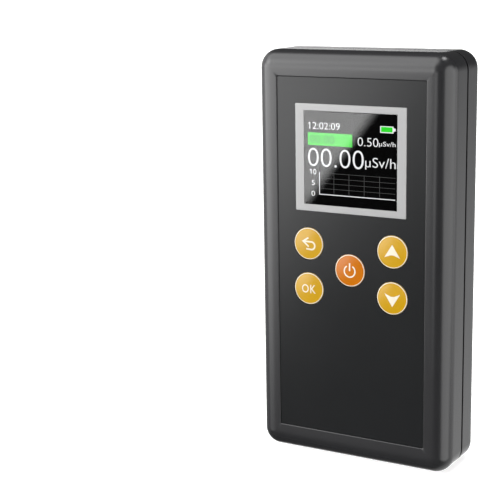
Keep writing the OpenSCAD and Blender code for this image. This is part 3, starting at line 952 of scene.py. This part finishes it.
def symbol(key):
    """The printed mark of a key, as closed solids. Its points are measured from
    the key's middle."""
    x, z = key_at[key].x, key_at[key].z
    d0, d1 = MARK_DEPTH, CAP_DEPTH + 0.02
    if key == "ok":
        return [
            written("mark", "O", -2.25, -0.02, -1.31, 1.2, d0, d1, (x, z), 0.005),
            written("mark", "K", 0.5, 2.25, -1.31, 1.2, d0, d1, (x, z), 0.005),
        ]
    if key == "return":
        hook = [(-1.7, 0.66), (0.95, 0.62)]
        hook += [
            (0.95 + 1.1 * cos(a), -0.52 + 1.14 * sin(a)) for a in arc(12, 82, -82)
        ]
        hook += [(0.95, -1.66), (-0.75, -1.5)]
        head = [(0.0, 1.78), (-1.75, 0.66), (0.1, -0.85)]
        line = stroke("mark", hook, ARROW_W, d0, d1, x, z)
        tip = stroke("tip", head, ARROW_W, d0, d1, x, z)
        return [combine(line, [tip], "UNION")]
    if key == "power":
        circle = [(1.7 * sin(a), -0.15 + 1.7 * cos(a)) for a in arc(40, 32, 328)]
        return [
            stroke("mark", circle, 0.4, d0, d1, x, z),
            stroke("bar", [(0, 2.25), (0, -0.1)], 0.43, d0, d1, x, z),
        ]
    if key == "up":
        points = [(0, 2.15), (2.4, -1.6), (0, -0.7), (-2.4, -1.6)]
    else:
        points = [(0.1, -2.43), (-2.3, 1.38), (0.1, 0.3), (2.5, 1.38)]
    return [outline_solid("mark", points, d0, d1, x, z)]


def on_crown(made, x, z):
    """Lays a flat mark over a key's crown."""
    bm = bmesh.new()
    bm.from_mesh(made.data)
    long_edges = [e for e in bm.edges if e.calc_length() > 0.8 * MM]
    bmesh.ops.subdivide_edges(bm, edges=long_edges, cuts=3, use_grid_fill=True)
    bmesh.ops.triangulate(bm, faces=[f for f in bm.faces if len(f.verts) > 4])
    for v in bm.verts:
        reach = ((v.co.x / MM - x) ** 2 + (v.co.z / MM - z) ** 2) / CROWN_R**2
        v.co.y -= CROWN * max(1 - reach, 0) * MM
    bm.to_mesh(made.data)
    bm.free()
    return made


for key in KEYS:
    x, z = key_at[key].x, key_at[key].z
    body = key + "_key"
    look = key_orange if key == "power" else key_yellow
    profile = [(0, CAP_DEPTH - CROWN)]
    profile += [
        (CROWN_R * k / 8, CAP_DEPTH - CROWN * (1 - (k / 8) ** 2)) for k in range(1, 9)
    ]
    profile += [
        (KEY_R - CAP_EDGE * (1 - sin(a)), CAP_DEPTH + CAP_EDGE * (1 - cos(a)))
        for a in arc(5)
    ]
    profile += [
        (KEY_R, FLANGE_DEPTH),
        (FLANGE_R, FLANGE_DEPTH),
        (FLANGE_R, FLANGE_END),
        (0, FLANGE_END),
    ]
    cap = turn("cap", profile, round_axis(x, z))
    add(cap, f"key_{key}_cap", body, look, ["key_" + key])
    rim = turn(
        "rim",
        [
            (KEY_R - 0.31, CAP_DEPTH + 0.05),
            (KEY_R - 0.31, MARK_DEPTH + 0.01),
            (KEY_R - 0.28, MARK_DEPTH),
            (KEY_R - 0.16, MARK_DEPTH + 0.01),
            (KEY_R - 0.08, MARK_DEPTH + 0.07),
            (KEY_R - 0.04, CAP_DEPTH + 0.12),
            (KEY_R - 0.14, CAP_DEPTH + 0.14),
        ],
        round_axis(x, z),
        closed=True,
    )
    add(rim, f"key_{key}_rim", body, key_print)
    mark = on_crown(join(symbol(key)), x, z)
    add(mark, f"key_{key}_mark", body, key_print, angle=20)

# ---- Rear shell ------------------------------------------------------------

DOOR_OPEN_X = 26.4
DOOR_OPEN_Z = 37.65
# Depth of the lip under the door's lower edge.
LIP = 14.0
SOCKET_INSET = 1.0
SOCKET_END = TONGUE_END + 0.1


def back_edge():
    """Rings of the rounded back edge, from the back face outward."""
    return [
        case_ring(EDGE_R * (1 - sin(a)), BACK - EDGE_R * (1 - cos(a))) for a in arc(14)
    ]


def back_inside(wall, steps):
    """Rings of the inside of the back edge, under a wall of this thickness."""
    r = EDGE_R - wall
    return [
        case_ring(wall + r * (1 - sin(a)), BACK - wall - r * (1 - cos(a)))
        for a in arc(steps, 90, 0)
    ]


rings = back_edge()
for a in arc(4):
    rings.append(case_ring(RIM_EDGE * (1 - cos(a)), RIM_REAR + RIM_EDGE * (1 - sin(a))))
rings += [
    case_ring(SOCKET_INSET, RIM_REAR),
    case_ring(SOCKET_INSET, SOCKET_END),
    case_ring(WALL, SOCKET_END),
]
rear = skin("rear_shell_body", rings + back_inside(WALL, 6))
opening = block(-DOOR_OPEN_X, DOOR_OPEN_X, LIP, BACK + 1, -1, DOOR_OPEN_Z)
combine(rear, [opening], "DIFFERENCE")

# The battery bay: its inner half width, the outside of its walls, the depth of
# its floor, its lower end, and the wall over the cells.
BAY_X = 26.4
BAY_WALL = 1.2
BAY_OUT = BAY_X + BAY_WALL
BAY_FLOOR = 8.1
BAY_BOTTOM = 2.3
BAY_CEILING, BAY_TOP = 36.3, 38.7
# The ledges that hold the door's hooks.
LEDGE_X = 25.0
LEDGE_DEPTH, LEDGE_END = 21.0, 21.7
SILL_TOP = 3.5
INTO_BACK = BACK - WALL + 0.3
walls = [
    block(-BAY_OUT, BAY_OUT, BAY_FLOOR, BAY_FLOOR + BAY_WALL, BAY_BOTTOM, BAY_TOP),
    block(-BAY_OUT, BAY_OUT, BAY_FLOOR, BACK - WALL + 0.2, BAY_CEILING, BAY_TOP),
    block(-BAY_OUT, BAY_OUT, BAY_FLOOR, LIP, BAY_BOTTOM, SILL_TOP),
    block(EDGE_R - HALF_W, HALF_W - EDGE_R, SOCKET_END, LIP, 0.5, SILL_TOP),
]
for side in (-1, 1):
    x0, x1 = sorted((side * BAY_X, side * BAY_OUT))
    walls.append(block(x0, x1, BAY_FLOOR, INTO_BACK, BAY_BOTTOM, BAY_TOP))
    x0, x1 = sorted((side * LEDGE_X, side * BAY_OUT))
    walls.append(block(x0, x1, LEDGE_DEPTH, LEDGE_END, EDGE_R + 0.3, BAY_TOP - 0.5))
walls += [rod(x, SCREW_Z, 3.3, POST_END, BACK - WALL + 0.5) for x in SCREWS]
combine(rear, walls, "UNION")

# A slot for the door's tongue, and a counterbored hole for each screw.
HEAD_R, HEAD_FLOOR, HOLE_EDGE = 1.8, 14.2, 0.2
cuts = [block(-5.3, 5.3, 20.0, 21.0, 35.3, BAY_TOP + 1)]
hole = [(0, HEAD_FLOOR), (HEAD_R, HEAD_FLOOR), (HEAD_R, BACK - HOLE_EDGE)]
hole += [
    (HEAD_R + HOLE_EDGE * (1 - cos(a)), BACK - HOLE_EDGE * (1 - sin(a))) for a in arc(4)
]
hole += [(HEAD_R + HOLE_EDGE, BACK + 1), (0, BACK + 1)]
for x in SCREWS:
    cuts.append(turn("hole", hole, round_axis(x, SCREW_Z), 64))
    cuts.append(rod(x, SCREW_Z, 1.15, 11, 15))
combine(rear, cuts, "DIFFERENCE")
add(rear, "rear_shell_body", "case", shell, ["rear_shell"])

# ---- Battery door ----------------------------------------------------------

DOOR_T = 1.1
DOOR_X = 26.1
DOOR_Z = 37.35
DOOR_END = LIP + 0.3
rings = back_edge() + [case_ring(0, DOOR_END), case_ring(DOOR_T, DOOR_END)]
door = skin("battery_door_panel", rings + back_inside(DOOR_T, 8))
combine(door, [block(-DOOR_X, DOOR_X, LIP - 1, BACK + 1, -1, DOOR_Z)], "INTERSECT")

# On its inside: four ribs, four hooks that reach outward, and the tongue.
RIB_END = BACK - DOOR_T + 0.2
HOOK_DEPTH, HOOK_END = 20.3, 20.85
HOOK_X, HOOK_T, HOOK_TIP, HOOK_L = 24.0, 0.7, 25.8, 6
TONGUE_X, TONGUE_Z = 5, 35
ribs = [block(x - 0.5, x + 0.5, HOOK_DEPTH, RIB_END, 5, 34) for x in (-15, -5, 5, 15)]
for side in (-1, 1):
    for z in (5, 25):
        x0, x1 = sorted((side * HOOK_X, side * (HOOK_X + HOOK_T)))
        ribs.append(block(x0, x1, HOOK_DEPTH, RIB_END, z, z + HOOK_L))
        x0, x1 = sorted((side * HOOK_X, side * HOOK_TIP))
        ribs.append(block(x0, x1, HOOK_DEPTH, HOOK_END, z, z + HOOK_L))
ribs.append(block(-TONGUE_X, TONGUE_X, HOOK_DEPTH, RIB_END, TONGUE_Z, TONGUE_Z + 1))
ribs.append(block(-TONGUE_X, TONGUE_X, HOOK_DEPTH, HOOK_END, TONGUE_Z, TONGUE_Z + 4.2))
combine(door, ribs, "UNION")

# The grip: a shallow recess with five low ribs and an arrow.
GRIP_X, GRIP_Z0, GRIP_Z1, GRIP_DROP = 7.05, 25.4, 35.2, 0.4
GRIP_FLOOR = BACK - GRIP_DROP
RIB_X, RIB_HALF, RIB_H, RIB_TOP_IN = 5.9, 0.28, 0.14, 0.16


def grip_ring(inset, r, depth):
    return ring(GRIP_X - inset, GRIP_Z0 + inset, GRIP_Z1 - inset, r, depth, 4)


def rib_ring(z, inset, depth):
    half = RIB_HALF - inset
    return ring(RIB_X - inset, z - half, z + half, half, depth, 6)


grip = skin(
    "grip",
    [
        grip_ring(0.15, 0.3, GRIP_FLOOR),
        grip_ring(0.03, 0.4, BACK - GRIP_DROP * 0.7),
        grip_ring(0, 0.45, BACK + 0.5),
    ],
)
combine(door, [grip], "DIFFERENCE")
raised = []
for k in range(5):
    z = 30.2 + k
    rings = [
        rib_ring(z, 0, GRIP_FLOOR - 0.05),
        rib_ring(z, 0, GRIP_FLOOR + RIB_H * 0.5),
        rib_ring(z, RIB_TOP_IN, GRIP_FLOOR + RIB_H),
    ]
    raised.append(skin("rib", rings))
arrow = [(-1.6, 28.6), (0, 26.9), (1.6, 28.6)]
raised.append(stroke("arrow", arrow, 0.4, GRIP_FLOOR - 0.05, GRIP_FLOOR + RIB_H, 0, 0))
combine(door, raised, "UNION")
add(door, "battery_door_panel", "door", shell, ["battery_door"])

# ---- Cells and springs -----------------------------------------------------

CELL_DEPTH = 14.85
CELL_R = 5.15
CELL_FROM, CELL_BODY_TO, CELL_TO = -18.5, 25.0, 26.0
# Where the pale band of the sleeve starts.
BAND_FROM = CELL_BODY_TO - 11.0
SLEEVE_IN, FOLD_R = 4.85, 4.3
# Each cell, and the way along X that its button points.
CELLS = (("cell_lower", 1), ("cell_middle", -1), ("cell_upper", 1))
SPRING_WIRE_R = 0.35
SPRING_R0, SPRING_R1 = 3.6, 2.2
SPRING_TURNS = 4
SPRING_FROM, SPRING_TO = -26.0, CELL_FROM
# The part of its length over which the spring rises, between its flat ends.
RISE_FROM, RISE_PART = 0.14, 0.72


def coil(place):
    """A round wire wound into a narrowing spring with flat ends."""
    steps, sides = 32, 12
    count = SPRING_TURNS * steps
    low, high = SPRING_FROM + SPRING_WIRE_R, SPRING_TO - SPRING_WIRE_R
    path = []
    for k in range(count + 1):
        t = k / count
        r = SPRING_R0 + (SPRING_R1 - SPRING_R0) * t
        rise = min(max((t - RISE_FROM) / RISE_PART, 0), 1)
        path.append(place(r, low + (high - low) * rise, 2 * pi * k / steps))
    rings = []
    for k, p in enumerate(path):
        along = (path[min(k + 1, count)] - path[max(k - 1, 0)]).normalized()
        u = along.cross(Vector((1, 0, 0))).normalized() * SPRING_WIRE_R * MM
        v = along.cross(u)
        angles = [2 * pi * j / sides for j in range(sides)]
        rings.append([p + cos(a) * u + sin(a) * v for a in angles])
    return skin("spring", rings)


def folded_end(at, way):
    """A sleeve's end folded over the can. Way is 1 at its start, from the inside
    out, and -1 at its end, from the outside in."""
    points = [
        (SLEEVE_IN, at + way * 0.4),
        (FOLD_R, at),
        (CELL_R - 0.12, at + way * 0.12),
        (CELL_R, at + way * 0.4),
    ]
    return points[::way]


def cut_end(at, way):
    """A sleeve's straight end, in the same order."""
    points = [
        (SLEEVE_IN, at + way * 0.4),
        (CELL_R - 0.2, at),
        (CELL_R - 0.12, at),
        (CELL_R, at + way * 0.02),
    ]
    return points[::way]


springs = []
for node, way in CELLS:
    z = middle(node).z
    place = round_axis(0, z, CELL_DEPTH, way)
    can = turn(
        "can",
        [
            (0, CELL_FROM + 0.12),
            (3.3, CELL_FROM + 0.12),
            (3.5, CELL_FROM),
            (4.3, CELL_FROM),
            (4.75, CELL_FROM + 0.2),
            (4.9, CELL_FROM + 0.5),
            (4.9, CELL_BODY_TO - 0.6),
            (4.7, CELL_BODY_TO - 0.2),
            (4.3, CELL_BODY_TO),
            (3.2, CELL_BODY_TO),
            (3.0, CELL_BODY_TO - 0.25),
            (2.1, CELL_BODY_TO - 0.25),
            (1.9, CELL_BODY_TO - 0.05),
            (1.9, CELL_TO - 0.25),
            (1.65, CELL_TO),
            (0, CELL_TO),
        ],
        place,
    )
    add(can, node + "_can", "case", tinned, [node])
    jacket_from, band_to = CELL_FROM + 0.15, CELL_BODY_TO - 0.15
    sleeves = (
        ("jacket", folded_end(jacket_from, 1) + cut_end(BAND_FROM, -1), jacket),
        ("band", cut_end(BAND_FROM, 1) + folded_end(band_to, -1), jacket_band),
    )
    for part, profile, look in sleeves:
        sleeve = turn("sleeve", profile, place, closed=True)
        add(sleeve, f"{node}_{part}", "case", look)
    springs.append(coil(place))
add(
    join(springs),
    "battery_spring_coils",
    "case",
    spring_metal,
    ["battery_springs"],
)

# ---- Camera ----------------------------------------------------------------

# The photo's view: the camera's turn round the object, its height and its tilt,
# the point it aims at and its distance from it in mm, and its lens.
yaw, pitch, roll = radians(30.827), radians(12.206), radians(-0.955)
AIM = Vector((-39.9, 0.0, 57.7)) * MM
AWAY = 420.16 * MM
LENS, SENSOR = 98.19, 36.0
back = Vector((sin(yaw) * cos(pitch), -cos(yaw) * cos(pitch), sin(pitch)))
right = (-back).cross(Vector((0, 0, 1))).normalized()
up = right.cross(-back).normalized()
right_rolled = right * cos(roll) + up * sin(roll)
up_rolled = up * cos(roll) - right * sin(roll)
camera_data = bpy.data.cameras.new("camera")
camera_data.sensor_width = SENSOR
camera_data.lens = LENS
camera_data.clip_start = 0.01
camera_data.clip_end = 20.0
camera = bpy.data.objects.new("camera", camera_data)
bpy.context.scene.collection.objects.link(camera)
axes = Matrix((right_rolled, up_rolled, back)).transposed()
camera.matrix_world = Matrix.Translation(AIM + back * AWAY) @ axes.to_4x4()
bpy.context.scene.camera = camera

# ---- Floor and light -------------------------------------------------------


def lay_floor():
    """A plain pale floor, which the object neither shades nor reflects."""
    bm = bmesh.new()
    bmesh.ops.create_grid(bm, x_segments=1, y_segments=1, size=6.0)
    floor = to_object(bm, "floor")
    look = bpy.data.materials.new("floor")
    look.use_nodes = True
    surface = look.node_tree.nodes["Principled BSDF"]
    surface.inputs["Base Color"].default_value = rgb(0.9, 0.9, 0.9)
    surface.inputs["Roughness"].default_value = 1.0
    surface.inputs["Specular IOR Level"].default_value = 0.0
    surface.inputs["Emission Color"].default_value = rgb(1, 1, 1)
    surface.inputs["Emission Strength"].default_value = 0.72
    floor.data.materials.append(look)
    floor.visible_glossy = False
    floor.visible_diffuse = False
    floor.visible_shadow = False
    floor.visible_transmission = False


def heading(azimuth, elevation):
    """A direction: azimuth from the front, positive to the reader's right."""
    a, e = radians(azimuth), radians(elevation)
    return Vector((sin(a) * cos(e), -cos(a) * cos(e), sin(e)))


# The main softbox: two directions along its near edge, how far it reaches from
# there in degrees, and its level.
BOX_EDGE = ((-25.6, -6.6), (-28.3, -10.1))
BOX_SPAN = 52
BOX_LEVEL = 5.9
# Half widths of its soft edges: the near one is sharp.
FAR_SOFT, NEAR_SOFT, LOW_SOFT, HIGH_SOFT = 0.25, 0.0065, 0.2, 0.34
# Its lower and upper edge, along its own height.
BOX_LOW, BOX_HIGH = -0.62, 0.46
AMBIENT = 0.055
# Round soft lights: azimuth, elevation, inner and outer angle, level.
SOFT_LIGHTS = [
    (78, 0, 29, 37, 3.0),
    (120, 0, 8, 22, 1.7),
    (150, -44, 14, 56, 1.0),
    (120, 77, 5, 12, 11.0),
    (-54, 50, 16, 38, 3.6),
    (-100, 14, 12, 38, 0.92),
    (-7, -5, 3, 12, 2.8),
    (-148, -18, 16, 30, 3.0),
]


def studio():
    """Soft lights all round, as the object sees them. The camera sees white."""
    world = bpy.data.worlds.new("studio")
    bpy.context.scene.world = world
    world.use_nodes = True
    tree = world.node_tree
    tree.nodes.clear()
    n = Nodes(tree)
    way = n.add("ShaderNodeTexCoord").outputs["Generated"]

    def dot(direction):
        made = n.add("ShaderNodeVectorMath", {"operation": "DOT_PRODUCT"})
        n.put(made.inputs[0], way)
        made.inputs[1].default_value = direction
        return made.outputs["Value"]

    def soft(azimuth, elevation, inner, outer, level):
        """A round soft light, full inside the inner angle."""
        spread = dot(heading(azimuth, elevation))
        return n.span(spread, cos(radians(outer)), cos(radians(inner)), 0.0, level, True)

    # The softbox is a rectangle seen from the object: u runs across it towards
    # its near edge, and v up.
    edge_a, edge_b = (heading(*edge) for edge in BOX_EDGE)
    normal = edge_a.cross(edge_b).normalized()
    if normal.x > 0:
        normal.negate()
    near = (edge_a + edge_b).normalized()
    half = radians(BOX_SPAN / 2)
    centre = near * cos(half) + normal * sin(half)
    u = near * sin(half) - normal * cos(half)
    v = centre.cross(u).normalized()
    if v.z < 0:
        v.negate()
    facing = n.math("MAXIMUM", dot(centre), 0.001)
    pu = n.math("DIVIDE", dot(u), facing)
    pv = n.math("DIVIDE", dot(v), facing)
    half_u = tan(half)

    def inside(value, low, high, low_soft, high_soft):
        rise = n.span(value, low - low_soft, low + low_soft, 0.0, 1.0, True)
        fall = n.span(value, high - high_soft, high + high_soft, 1.0, 0.0, True)
        return n.math("MULTIPLY", rise, fall)

    box = n.math(
        "MULTIPLY",
        inside(pu, -half_u, half_u, FAR_SOFT, NEAR_SOFT),
        inside(pv, BOX_LOW, BOX_HIGH, LOW_SOFT, HIGH_SOFT),
    )
    # The box is dimmer in its upper corner by the near edge, and ends below.
    corner = n.math(
        "MULTIPLY",
        n.span(pu, half_u - 0.12, half_u, 0.0, 0.6),
        n.span(pv, 0.03, 0.12, 0.0, 1.0),
    )
    box = n.math("MULTIPLY", box, n.math("SUBTRACT", 1.0, corner))
    level = n.span(dot((0, 0, 1)), -0.35, -0.15, 0.0, BOX_LEVEL, True)
    total = n.math("MULTIPLY", box, level)
    for light in SOFT_LIGHTS:
        total = n.math("ADD", total, soft(*light))
    total = n.math("ADD", total, AMBIENT)
    seen = n.add("ShaderNodeLightPath").outputs["Is Camera Ray"]
    room = n.add("ShaderNodeBackground", Color=rgb(1, 1, 1))
    n.put(room.inputs["Strength"], total)
    backdrop = n.add("ShaderNodeBackground", Color=rgb(1, 1, 1), Strength=1.0)
    mixed = n.add("ShaderNodeMixShader")
    n.put(mixed.inputs[0], seen)
    n.put(mixed.inputs[1], room.outputs[0])
    n.put(mixed.inputs[2], backdrop.outputs[0])
    out = n.add("ShaderNodeOutputWorld")
    tree.links.new(mixed.outputs[0], out.inputs["Surface"])


lay_floor()
studio()
bpy.context.scene.view_settings.view_transform = "Standard"

bpy.context.view_layer.update()
